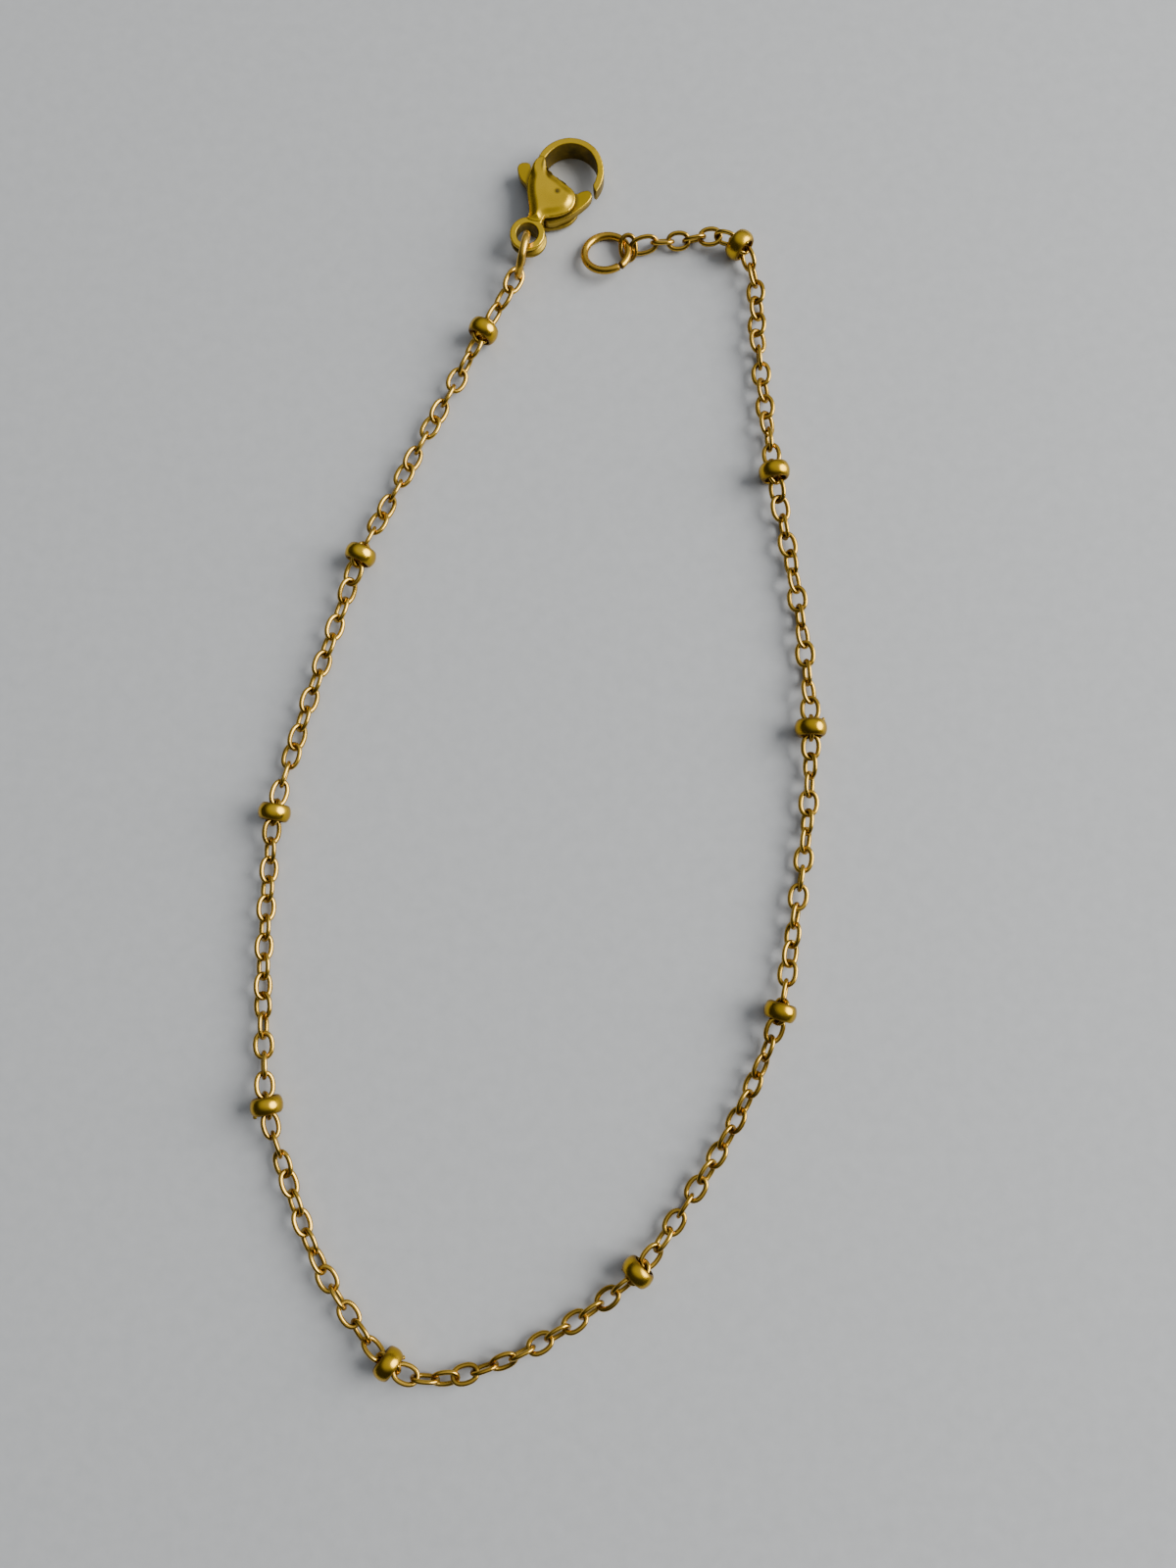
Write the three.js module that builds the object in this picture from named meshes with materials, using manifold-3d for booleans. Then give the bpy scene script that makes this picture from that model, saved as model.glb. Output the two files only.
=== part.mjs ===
// Chain anklet, unfastened and laid out in a loop: oval cable chain with ten saucer beads,
// a jump ring and lobster clasp at one end and an open end ring at the other.
// Millimetres, +Z up, lying on the plane z = 0.
import * as THREE from 'three';
import { mergeVertices } from 'three/addons/utils/BufferGeometryUtils.js';
import Module from 'manifold-3d';

const wasm = await Module();
wasm.setup();

// The loop that the chain is laid out in
const LOOP_WIDTH = 42;
const LOOP_LENGTH = 89;

// Chain link: oval of flattened wire
const LINK_PITCH = 1.5;
const LINK_WIDTH = 1.6;
const WIRE_WIDTH = 0.3;
const WIRE_THICKNESS = 0.28;
const LINK_GAP = 0.1;

// Saucer bead threaded over the chain
const BEAD_LENGTH = 1.3;
const BEAD_WALL = 0.36;
const BEAD_RIM = 0.13;
const BEAD_FLAT = 0.5;
const BORE_CLEARANCE = 0.09;

// Jump ring and end ring, both of round wire
const RING_WIRE = 0.56;
const JUMP_RING_DIAMETER = 3.8;
const END_RING_DIAMETER = 4.15;
const RING_CUT = 0.16;
const RING_CLEARANCE = 0.1;

// Lobster clasp
const PLATE_THICKNESS = 0.62;
const LEVER_THICKNESS = 0.86;
const LEVER_CLEARANCE = 0.06;
const EYE_TO_HOOK = 6.5;
const HOOK_RADIUS = 2.8;
const HOOK_BAND = 0.56;
const HOOK_INSET = 0.15;
const HOOK_TAPER = 0.4;
const EYE_RADIUS = 1.42;
const EYE_HOLE_RADIUS = 0.88;
const EYE_THICKNESS = 1.05;
const RIVET_RADIUS = 0.28;
const RIVET_CLEARANCE = 0.05;

// Where the clasp lies, and how the rings stand or lean, angles in degrees
const CLASP_EYE = new THREE.Vector2(-0.1750 * LOOP_WIDTH, 0.6317 * LOOP_LENGTH);
const CLASP_TURN = -33.5;
const JUMP_RING_TURN = -12;
const JUMP_RING_LEAN = 10;
const JUMP_RING_HANG = 0.25;
const JUMP_RING_HOLD = 205;
const END_RING_CENTRE = new THREE.Vector2(-0.0228 * LOOP_WIDTH, 0.6205 * LOOP_LENGTH);
const END_RING_HIGH = -75;
const END_RING_TILT = 13;
const END_RING_HOLD = 14;
const END_RING_CUT_AT = -53;

// How far from a bead or ring the chain comes down to the floor
const SAG_REACH = 3;

// Meshing
const LINK_STATIONS = 10;
const ROUND_SIDES = 10;
const RING_STEPS = 12;
const RING_SIDES = 6;

// The chain's route between the two rings, chosen by hand, x as shares of LOOP_WIDTH and y of
// LOOP_LENGTH from the middle of the floor; a row with bead: true carries a bead.
const ROUTE = [
  { x: -0.2602, y: 0.5425, bead: true },
  { x: -0.3429, y: 0.4697 },
  { x: -0.4167, y: 0.4022 },
  { x: -0.4867, y: 0.3336, bead: true },
  { x: -0.5405, y: 0.2596 },
  { x: -0.5929, y: 0.1798 },
  { x: -0.6338, y: 0.1036, bead: true },
  { x: -0.6452, y: 0.0337 },
  { x: -0.6464, y: -0.0562 },
  { x: -0.6302, y: -0.1437, bead: true },
  { x: -0.5929, y: -0.2022 },
  { x: -0.5190, y: -0.2820 },
  { x: -0.4040, y: -0.3487, bead: true },
  { x: -0.3381, y: -0.3618 },
  { x: -0.2286, y: -0.3517 },
  { x: -0.1024, y: -0.3225 },
  { x: 0.0286, y: -0.2753, bead: true },
  { x: 0.1238, y: -0.2157 },
  { x: 0.2143, y: -0.1449 },
  { x: 0.2836, y: -0.0652, bead: true },
  { x: 0.3143, y: 0.0112 },
  { x: 0.3405, y: 0.0921 },
  { x: 0.3498, y: 0.1754, bead: true },
  { x: 0.3452, y: 0.2360 },
  { x: 0.3238, y: 0.3191 },
  { x: 0.2924, y: 0.4067, bead: true },
  { x: 0.2786, y: 0.4719 },
  { x: 0.2667, y: 0.5393 },
  { x: 0.2643, y: 0.5865 },
  { x: 0.2360, y: 0.6234, bead: true },
  { x: 0.1786, y: 0.6337 },
  { x: 0.1238, y: 0.6303 },
  { x: 0.0714, y: 0.6298 },
];

// How the links lie, stretch by stretch. Roll 0 is flat and 90 stands on edge, a run's first link has
// the roll "first" and each next one turns on by "turn". "lie" is the share of LINK_PITCH that a link
// takes up as it lies, and each stretch but the first starts with the link that its bead is on.
const STRETCHES = [
  { lie: 1.1, runs: [{ links: 1, first: 150, turn: 60 }, { links: 2, first: 30, turn: 75 }] },
  { lie: 1, runs: [{ links: 4, first: 160, turn: 60 }, { links: 10, first: 70, turn: 60 }] },
  {
    lie: 1,
    runs: [
      { links: 2, first: 130, turn: 60 },
      { links: 8, first: 135, turn: 90 },
      { links: 4, first: 135, turn: 60 },
    ],
  },
  { lie: 0.98, runs: [{ links: 10, first: 45, turn: 90 }, { links: 5, first: 25, turn: 75 }] },
  {
    lie: 1,
    runs: [
      { links: 1, first: 55, turn: 90 },
      { links: 3, first: 135, turn: 120 },
      { links: 4, first: 135, turn: 90 },
      { links: 2, first: 110, turn: 60 },
      { links: 4, first: 85, turn: 70 },
    ],
  },
  {
    lie: 1,
    runs: [
      { links: 1, first: 35, turn: 90 },
      { links: 6, first: 155, turn: 120 },
      { links: 2, first: 90, turn: 65 },
      { links: 5, first: 60, turn: 90 },
    ],
  },
  {
    lie: 0.97,
    runs: [
      { links: 2, first: 150, turn: 55 },
      { links: 2, first: 105, turn: 65 },
      { links: 2, first: 85, turn: 80 },
      { links: 7, first: 50, turn: 90 },
      { links: 2, first: 110, turn: 80 },
    ],
  },
  {
    lie: 0.965,
    runs: [
      { links: 2, first: 130, turn: 125 },
      { links: 2, first: 155, turn: 60 },
      { links: 3, first: 125, turn: 120 },
      { links: 2, first: 85, turn: 80 },
      { links: 2, first: 55, turn: 60 },
      { links: 4, first: 0, turn: 60 },
    ],
  },
  {
    lie: 1,
    runs: [
      { links: 1, first: 90, turn: 70 },
      { links: 6, first: 160, turn: 60 },
      { links: 3, first: 160, turn: 70 },
      { links: 3, first: 10, turn: 90 },
      { links: 1, first: 130, turn: 60 },
    ],
  },
  {
    lie: 0.945,
    runs: [
      { links: 1, first: 40, turn: 60 },
      { links: 4, first: 160, turn: 120 },
      { links: 2, first: 50, turn: 110 },
      { links: 3, first: 90, turn: 120 },
      { links: 2, first: 45, turn: 110 },
      { links: 2, first: 60, turn: 55 },
    ],
  },
  {
    lie: 0.86,
    runs: [
      { links: 2, first: 25, turn: 80 },
      { links: 5, first: 170, turn: 80 },
      { links: 1, first: 50, turn: 60 },
    ],
  },
];

// The clasp's outlines, x as shares of HOOK_RADIUS and y as shares of EYE_TO_HOOK, from the eye's centre.
const PLATE_OUTLINE = [
  [-0.23, 0.17], [0.1, 0.22], [0.12, 0.3], [0.31, 0.37], [0.5, 0.455], [0.61, 0.54], [0.63, 0.64],
  [0.565, 0.715], [0.465, 0.77], [0.3, 0.805], [0, 0.82], [-0.335, 0.837], [-0.585, 0.85], [-0.865, 0.95],
  [-1, 0.93], [-1.06, 0.85], [-1.05, 0.77], [-0.975, 0.66], [-0.86, 0.55], [-0.68, 0.44], [-0.47, 0.34],
  [-0.31, 0.25],
];
const NECK_OUTLINE = [[-0.24, 0.14], [0.16, 0.14], [0.14, 0.3], [-0.3, 0.3]];
const LEVER_OUTLINE = [
  [-1.125, 0.8], [-1.23, 0.846], [-1.36, 0.838], [-1.47, 0.8], [-1.507, 0.746], [-1.41, 0.677],
  [-1.196, 0.612], [-0.964, 0.577], [-0.57, 0.446], [-0.143, 0.338], [0.25, 0.308], [0.554, 0.454],
  [0.707, 0.585], [0.839, 0.754], [0.871, 0.854], [0.814, 0.926], [0.661, 0.938], [0.518, 0.88],
  [0.357, 0.815], [-0.43, 0.815], [-0.93, 0.823],
];
const PIVOT = [0.03, 0.666];
const LEVER_TIP = [0.871, 0.926];
const HOOK_CENTRE = [-0.07, 1];
const SLOT_LOW = [-1.3, 0.28];
const SLOT_HIGH = [0.95, 0.865];
const HOOK_END_ANGLE = -30;
const HOOK_ROOT_ANGLE = 206;
const SWEPT_FROM = THREE.MathUtils.degToRad(-10);
const SWEPT_TO = THREE.MathUtils.degToRad(75);

// Sizes that follow from the ones above
const LINK_HEIGHT = LINK_WIDTH / 2;
const BORE_RADIUS = LINK_WIDTH / 2 + BORE_CLEARANCE;
const BEAD_RADIUS = BORE_RADIUS + BEAD_WALL;
const CLASP_THICKNESS = 2 * PLATE_THICKNESS + LEVER_THICKNESS + 2 * LEVER_CLEARANCE;
const HOOK_TOP = CLASP_THICKNESS - HOOK_INSET;
const UP = new THREE.Vector3(0, 0, 1);
const rad = THREE.MathUtils.degToRad;

const gold = new THREE.MeshStandardMaterial({ color: 0xb08a3c, roughness: 0.3, metalness: 1 });
const satin = new THREE.MeshStandardMaterial({ color: 0xa68233, roughness: 0.45, metalness: 1 });

// A manifold solid from a closed geometry, and a geometry from a solid.
function solidOf(geometry) {
  const bare = geometry.clone();
  bare.deleteAttribute('normal');
  bare.deleteAttribute('uv');
  const merged = mergeVertices(bare, 1e-5);
  const vertProperties = new Float32Array(merged.attributes.position.array);
  const triVerts = new Uint32Array(merged.index.array);
  return new wasm.Manifold(new wasm.Mesh({ numProp: 3, vertProperties, triVerts }));
}

function geometryOf(solid) {
  const mesh = solid.getMesh();
  const geometry = new THREE.BufferGeometry();
  geometry.setAttribute('position', new THREE.BufferAttribute(mesh.vertProperties, 3));
  geometry.setIndex(new THREE.BufferAttribute(mesh.triVerts, 1));
  geometry.computeVertexNormals();
  return geometry;
}

// Rings: round wire bent to a circle in the XY plane, cut through at one place.
class RingPath extends THREE.Curve {
  constructor(radius, cut, cutAngle) {
    super();
    this.radius = radius;
    this.start = cutAngle + cut / radius / 2;
    this.sweep = 2 * Math.PI - cut / radius;
  }

  getPoint(t, target = new THREE.Vector3()) {
    const angle = this.start + t * this.sweep;
    return target.set(this.radius * Math.cos(angle), this.radius * Math.sin(angle), 0);
  }
}

function ringGeometry(diameter, cutAngle) {
  const section = new THREE.Shape();
  for (let i = 0; i < RING_SIDES; i += 1) {
    const angle = (2 * Math.PI * i) / RING_SIDES;
    const x = (RING_WIRE / 2) * Math.cos(angle);
    const y = (RING_WIRE / 2) * Math.sin(angle);
    if (i === 0) section.moveTo(x, y);
    else section.lineTo(x, y);
  }
  const path = new RingPath((diameter - RING_WIRE) / 2, RING_CUT, cutAngle);
  return new THREE.ExtrudeGeometry(section, { steps: RING_STEPS, extrudePath: path, bevelEnabled: false });
}

// The standing jump ring: its plane holds the direction "along" and leans from upright.
const jumpRing = {};
jumpRing.along = new THREE.Vector3(0, 1, 0).applyAxisAngle(UP, rad(JUMP_RING_TURN));
jumpRing.rise = UP.clone().applyAxisAngle(jumpRing.along, rad(JUMP_RING_LEAN));
jumpRing.radius = (JUMP_RING_DIAMETER - RING_WIRE) / 2;
jumpRing.centre = new THREE.Vector3(CLASP_EYE.x, CLASP_EYE.y, 0)
  .addScaledVector(jumpRing.along, -(jumpRing.radius + JUMP_RING_HANG))
  .setZ(jumpRing.radius * jumpRing.rise.z + RING_WIRE / 2);
jumpRing.matrix = new THREE.Matrix4()
  .makeBasis(jumpRing.along, jumpRing.rise, jumpRing.along.clone().cross(jumpRing.rise))
  .setPosition(jumpRing.centre);

// The lying end ring: its side at END_RING_HIGH is up, and the last link holds it at END_RING_HOLD.
const endRing = {};
endRing.radius = (END_RING_DIAMETER - RING_WIRE) / 2;
endRing.high = new THREE.Vector3(Math.cos(rad(END_RING_HIGH)), Math.sin(rad(END_RING_HIGH)), 0);
endRing.normal = UP.clone().applyAxisAngle(UP.clone().cross(endRing.high), rad(-END_RING_TILT));
endRing.along = new THREE.Vector3(Math.cos(rad(END_RING_HOLD)), Math.sin(rad(END_RING_HOLD)), 0)
  .projectOnPlane(endRing.normal)
  .normalize();
endRing.centre = new THREE.Vector3(
  END_RING_CENTRE.x,
  END_RING_CENTRE.y,
  RING_WIRE / 2 + endRing.radius * Math.sin(rad(END_RING_TILT)),
);
endRing.matrix = new THREE.Matrix4()
  .makeBasis(endRing.along, endRing.normal.clone().cross(endRing.along), endRing.normal)
  .setPosition(endRing.centre);

// The inner side of a ring, at an angle round it, where a link's end bears on it.
function innerSide(ring, angle) {
  const reach = ring.radius - RING_WIRE / 2 - RING_CLEARANCE;
  return new THREE.Vector3(reach * Math.cos(angle), reach * Math.sin(angle), 0).applyMatrix4(ring.matrix);
}

const chainStart = innerSide(jumpRing, rad(JUMP_RING_HOLD));
const chainEnd = innerSide(endRing, 0);

// The route as one curve on the floor, from ring to ring, with the arc length of each bead.
const routePoints = [
  chainStart,
  ...ROUTE.map((row) => new THREE.Vector3(row.x * LOOP_WIDTH, row.y * LOOP_LENGTH, 0)),
  chainEnd,
];
const route = new THREE.CatmullRomCurve3(
  routePoints.map((point) => new THREE.Vector3(point.x, point.y, 0)),
  false,
  'centripetal',
);
route.arcLengthDivisions = 4000;
const routeLength = route.getLength();

function arcOfPoint(index) {
  const lengths = route.getLengths();
  const share = index / (routePoints.length - 1);
  return lengths[Math.round(share * (lengths.length - 1))];
}

const beadArcs = ROUTE.flatMap((row, i) => (row.bead ? [arcOfPoint(i + 1)] : []));

// Height of the chain's centre line: bead bores and rings hold it up, the floor carries the rest.
function rest(distance) {
  return 1 - THREE.MathUtils.smoothstep(Math.abs(distance), LINK_PITCH / 2, LINK_PITCH / 2 + SAG_REACH);
}

function heightAt(arc) {
  let height = LINK_HEIGHT;
  for (const beadArc of beadArcs) height += (BEAD_RADIUS - LINK_HEIGHT) * rest(arc - beadArc);
  height += (chainStart.z - LINK_HEIGHT) * rest(arc);
  height += (chainEnd.z - LINK_HEIGHT) * rest(arc - routeLength);
  return height;
}

function pointAt(arc) {
  const point = route.getPointAt(THREE.MathUtils.clamp(arc / routeLength, 0, 1));
  point.z = heightAt(arc);
  return point;
}

function rollAt(runs, link) {
  let left = link;
  for (const run of runs) {
    if (left < run.links) return run.first + left * run.turn;
    left -= run.links;
  }
  const last = runs[runs.length - 1];
  return last.first + (left + last.links) * last.turn;
}

// Joints between links along the route, the roll of each link, and the links that carry beads.
// Within a stretch all links share one pitch; half a pitch of each bead link lies to either side.
const joints = [chainStart];
const rolls = [];
const beadLinks = [];
const stops = [0, ...beadArcs, routeLength];
STRETCHES.forEach((stretch, index) => {
  const length = stops[index + 1] - stops[index];
  const halves = (index > 0 ? 0.5 : 0) + (index < STRETCHES.length - 1 ? 0.5 : 0);
  const whole = Math.round(length / (LINK_PITCH * stretch.lie) - halves);
  const pitch = length / (whole + halves);
  const firstJoint = index > 0 ? 0.5 : 1;
  if (index > 0) {
    beadLinks.push(rolls.length);
    rolls.push(rollAt(stretch.runs, 0));
    joints.push(pointAt(stops[index] + pitch / 2));
  }
  for (let k = 0; k < whole; k += 1) {
    rolls.push(rollAt(stretch.runs, index > 0 ? k + 1 : k));
    joints.push(pointAt(stops[index] + (firstJoint + k + (index > 0 ? 1 : 0)) * pitch));
  }
});

// A link's own axes: a along it, u across it in its plane, v through its thickness.
function linkFrame(from, to, roll) {
  const a = to.clone().sub(from).normalize();
  const side = UP.clone().cross(a).normalize();
  const u = side.applyAxisAngle(a, rad(roll));
  const v = a.clone().cross(u);
  return { a, u, v, centre: from.clone().add(to).multiplyScalar(0.5), inner: to.distanceTo(from) };
}

// Wire section of a link: offsets outwards in the link's plane and through its thickness.
const SECTION = [[-0.5, -0.4], [-0.5, 0.4], [0.25, 0.5], [0.5, 0], [0.25, -0.5]];
const END_HALF_ANGLE = Math.PI / LINK_STATIONS;

function linkPoint(frame, station, corner) {
  const angle = END_HALF_ANGLE + (2 * Math.PI * station) / LINK_STATIONS;
  const [out, through] = SECTION[corner];
  const atEnd = Math.abs(Math.cos(angle)) > Math.cos(END_HALF_ANGLE) - 1e-6;
  const forward = atEnd ? Math.sign(Math.cos(angle)) : Math.cos(angle);
  const along = (frame.inner / 2 + (0.5 + out) * WIRE_WIDTH) * forward;
  const across = (LINK_WIDTH / 2 + (out - 0.5) * WIRE_WIDTH) * Math.sin(angle);
  return frame.centre.clone()
    .addScaledVector(frame.a, along)
    .addScaledVector(frame.u, across)
    .addScaledVector(frame.v, through * WIRE_THICKNESS);
}

// The end faces of a link's inner side: which station and corner holds the sign pair (u, v).
const HALF = LINK_STATIONS / 2;
const FRONT_END = { plus: 0, minus: LINK_STATIONS - 1 };
const BACK_END = { plus: HALF - 1, minus: HALF };
const cornerOf = (sign) => (sign < 0 ? 0 : 1);

// A run of interlocked links as one body. Each pair meets in a small square where the inner
// sides of their ends bear on each other, turned half of what the pair's turn differs from square.
function chainGeometry(first, last) {
  const positions = [];
  const index = [];
  const addPoint = (point) => positions.push(point.x, point.y, point.z) / 3 - 1;
  const addQuad = (p, q, r, s) => index.push(p, q, r, p, r, s);
  const frames = [];
  let total = rolls[first];
  for (let i = first; i <= last; i += 1) {
    if (i > first) total += THREE.MathUtils.euclideanModulo(rolls[i] - rolls[i - 1], 180);
    const from = joints[i].clone();
    const to = joints[i + 1].clone();
    const a = to.clone().sub(from).normalize();
    if (i === first && first > 0) from.addScaledVector(a, -LINK_GAP / 2);
    if (i === last && last < rolls.length - 1) to.addScaledVector(a, LINK_GAP / 2);
    frames.push({ ...linkFrame(from, to, total), total });
  }
  let shared = null;
  frames.forEach((frame, n) => {
    const ids = [];
    for (let station = 0; station < LINK_STATIONS; station += 1) {
      ids.push([null, null, null, null, null]);
    }
    if (shared) {
      for (const su of [-1, 1]) {
        for (const sv of [-1, 1]) {
          const station = su > 0 ? BACK_END.plus : BACK_END.minus;
          ids[station][cornerOf(sv)] = shared[`${-sv},${su}`];
        }
      }
    }
    const next = frames[n + 1];
    const joined = {};
    if (next) {
      const normal = frame.a.clone().add(next.a).normalize();
      const skew = (next.total - frame.total - 90) / 2;
      const u = frame.u.clone().applyAxisAngle(frame.a, rad(skew));
      u.addScaledVector(normal, -u.dot(normal)).normalize();
      const v = normal.clone().cross(u);
      const half = 0.4 * WIRE_THICKNESS;
      const joint = frame.centre.clone().addScaledVector(frame.a, frame.inner / 2);
      for (const su of [-1, 1]) {
        for (const sv of [-1, 1]) {
          const point = joint.clone().addScaledVector(u, su * half).addScaledVector(v, sv * half);
          const station = su > 0 ? FRONT_END.plus : FRONT_END.minus;
          joined[`${su},${sv}`] = addPoint(point);
          ids[station][cornerOf(sv)] = joined[`${su},${sv}`];
        }
      }
    }
    ids.forEach((row, station) => {
      row.forEach((id, corner) => {
        if (id === null) row[corner] = addPoint(linkPoint(frame, station, corner));
      });
    });
    for (let station = 0; station < LINK_STATIONS; station += 1) {
      const after = (station + 1) % LINK_STATIONS;
      for (let corner = 0; corner < SECTION.length; corner += 1) {
        const across = (corner + 1) % SECTION.length;
        const meetsNext = next && corner === 0 && station === FRONT_END.minus;
        const meetsPrevious = shared && corner === 0 && station === BACK_END.plus;
        if (meetsNext || meetsPrevious) continue;
        addQuad(ids[station][corner], ids[station][across], ids[after][across], ids[after][corner]);
      }
    }
    shared = next ? joined : null;
  });
  const geometry = new THREE.BufferGeometry();
  geometry.setAttribute('position', new THREE.BufferAttribute(new Float32Array(positions), 3));
  geometry.setIndex(index);
  geometry.computeVertexNormals();
  return geometry;
}

// Saucer bead: a short barrel with a straight bore, its axis along the lathe's Y axis.
function beadGeometry() {
  const cut = Math.cos(Math.PI / ROUND_SIDES);
  const bore = BORE_RADIUS / cut;
  const half = BEAD_LENGTH / 2;
  const profile = [
    new THREE.Vector2(bore, -half),
    new THREE.Vector2(bore + BEAD_RIM, -half),
    new THREE.Vector2(BEAD_RADIUS, -BEAD_FLAT / 2),
    new THREE.Vector2(BEAD_RADIUS, BEAD_FLAT / 2),
    new THREE.Vector2(bore + BEAD_RIM, half),
    new THREE.Vector2(bore, half),
    new THREE.Vector2(bore, -half),
  ];
  return new THREE.LatheGeometry(profile, ROUND_SIDES);
}

function placeBead(mesh, link) {
  const frame = linkFrame(joints[link], joints[link + 1], 0);
  mesh.matrixAutoUpdate = false;
  mesh.matrix.makeBasis(frame.u.clone().negate(), frame.a, frame.a.clone().cross(frame.u))
    .setPosition(frame.centre);
}

// Clasp outlines in millimetres
const claspPoint = ([x, y]) => new THREE.Vector2(x * HOOK_RADIUS, y * EYE_TO_HOOK);

function slab(shape, low, high, segments = 8) {
  const geometry = new THREE.ExtrudeGeometry(shape, {
    depth: high - low,
    bevelEnabled: false,
    curveSegments: segments,
  });
  return solidOf(geometry.translate(0, 0, low));
}

const outline = (points) => new THREE.Shape(points.map(claspPoint));

function disc(centre, radius, low, high, sides) {
  const geometry = new THREE.CylinderGeometry(radius, radius, high - low, sides);
  geometry.rotateX(Math.PI / 2);
  return solidOf(geometry.translate(centre.x, centre.y, (low + high) / 2));
}

const pivot = claspPoint(PIVOT);
const leverReach = claspPoint(LEVER_TIP).distanceTo(pivot);

// The curved arm of the hook, lower towards its end, trimmed clear of the arc that the lever's
// tip swings through.
function hookSolid() {
  const centre = claspPoint(HOOK_CENTRE);
  const inner = HOOK_RADIUS - HOOK_BAND;
  const end = rad(HOOK_END_ANGLE);
  const root = rad(HOOK_ROOT_ANGLE);
  const arm = new THREE.Shape();
  arm.absarc(centre.x, centre.y, HOOK_RADIUS, end, root, false);
  arm.absarc(centre.x, centre.y, inner, root, end, true);
  const side = new THREE.Shape([
    new THREE.Vector2(-2 * HOOK_RADIUS, HOOK_INSET),
    new THREE.Vector2(0.2 * HOOK_RADIUS, HOOK_INSET),
    new THREE.Vector2(HOOK_RADIUS, HOOK_INSET + HOOK_TAPER),
    new THREE.Vector2(HOOK_RADIUS, HOOK_TOP - HOOK_TAPER),
    new THREE.Vector2(0.2 * HOOK_RADIUS, HOOK_TOP),
    new THREE.Vector2(-2 * HOOK_RADIUS, HOOK_TOP),
  ]);
  const taper = new THREE.ExtrudeGeometry(side, { depth: 4 * HOOK_RADIUS, bevelEnabled: false });
  taper.rotateX(Math.PI / 2).translate(0, centre.y + 2 * HOOK_RADIUS, 0);
  const band = slab(arm, 0, CLASP_THICKNESS, 14).intersect(solidOf(taper));
  const sweptRadius = leverReach + LEVER_CLEARANCE;
  const swept = new THREE.Shape();
  swept.moveTo(pivot.x, pivot.y);
  swept.lineTo(pivot.x + sweptRadius * Math.cos(SWEPT_FROM), pivot.y + sweptRadius * Math.sin(SWEPT_FROM));
  swept.absarc(pivot.x, pivot.y, sweptRadius, SWEPT_FROM, SWEPT_TO, false);
  return band.subtract(slab(swept, -1, CLASP_THICKNESS + 1, 8));
}

function claspBodyGeometry() {
  const slotLow = claspPoint(SLOT_LOW);
  const slotHigh = claspPoint(SLOT_HIGH);
  const slotThickness = LEVER_THICKNESS + 2 * LEVER_CLEARANCE;
  const slot = new THREE.BoxGeometry(slotHigh.x - slotLow.x, slotHigh.y - slotLow.y, slotThickness);
  slot.translate((slotLow.x + slotHigh.x) / 2, (slotLow.y + slotHigh.y) / 2, CLASP_THICKNESS / 2);
  const eye = new THREE.Vector2(0, 0);
  return geometryOf(
    slab(outline(PLATE_OUTLINE), 0, CLASP_THICKNESS)
      .add(slab(outline(NECK_OUTLINE), HOOK_INSET, HOOK_TOP))
      .add(disc(eye, EYE_RADIUS, HOOK_TOP - EYE_THICKNESS, HOOK_TOP, 16))
      .add(hookSolid())
      .subtract(solidOf(slot))
      .subtract(disc(eye, EYE_HOLE_RADIUS, -1, CLASP_THICKNESS + 1, 14))
      .subtract(disc(pivot, RIVET_RADIUS + RIVET_CLEARANCE, -1, CLASP_THICKNESS + 1, ROUND_SIDES)),
  );
}

function claspLeverGeometry() {
  const low = PLATE_THICKNESS + LEVER_CLEARANCE;
  const hole = disc(pivot, RIVET_RADIUS + RIVET_CLEARANCE, -1, CLASP_THICKNESS + 1, ROUND_SIDES);
  return geometryOf(slab(outline(LEVER_OUTLINE), low, low + LEVER_THICKNESS).subtract(hole));
}

function claspRivetGeometry() {
  const inset = RIVET_CLEARANCE / 2;
  return geometryOf(disc(pivot, RIVET_RADIUS, inset, CLASP_THICKNESS - inset, ROUND_SIDES));
}

// Assembly
const anklet = new THREE.Group();

function addPiece(parent, name, geometry, material) {
  const mesh = new THREE.Mesh(geometry, material);
  mesh.name = name;
  parent.add(mesh);
  return mesh;
}

const clasp = new THREE.Group();
clasp.position.set(CLASP_EYE.x, CLASP_EYE.y, 0);
clasp.rotation.z = rad(CLASP_TURN);
addPiece(clasp, 'clasp_body', claspBodyGeometry(), gold);
addPiece(clasp, 'clasp_lever', claspLeverGeometry(), gold);
addPiece(clasp, 'clasp_rivet', claspRivetGeometry(), gold);
anklet.add(clasp);

const jumpRingMesh = addPiece(anklet, 'jump_ring', ringGeometry(JUMP_RING_DIAMETER, rad(90)), gold);
jumpRingMesh.matrixAutoUpdate = false;
jumpRingMesh.matrix.copy(jumpRing.matrix);

const endRingMesh = addPiece(
  anklet,
  'end_ring',
  ringGeometry(END_RING_DIAMETER, rad(END_RING_CUT_AT - END_RING_HOLD)),
  gold,
);
endRingMesh.matrixAutoUpdate = false;
endRingMesh.matrix.copy(endRing.matrix);

const middleLink = Math.floor((beadLinks[4] + beadLinks[5]) / 2);
addPiece(anklet, 'chain_1', chainGeometry(0, middleLink), gold);
addPiece(anklet, 'chain_2', chainGeometry(middleLink + 1, rolls.length - 1), gold);

beadLinks.forEach((link, i) => {
  placeBead(addPiece(anklet, `bead_${i + 1}`, beadGeometry(), satin), link);
});

// The origin is the middle of the footprint, on the floor.
anklet.updateMatrixWorld(true);
const box = new THREE.Box3().setFromObject(anklet, true);
anklet.position.set(-(box.min.x + box.max.x) / 2, -(box.min.y + box.max.y) / 2, -box.min.z);

export default anklet;
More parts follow.
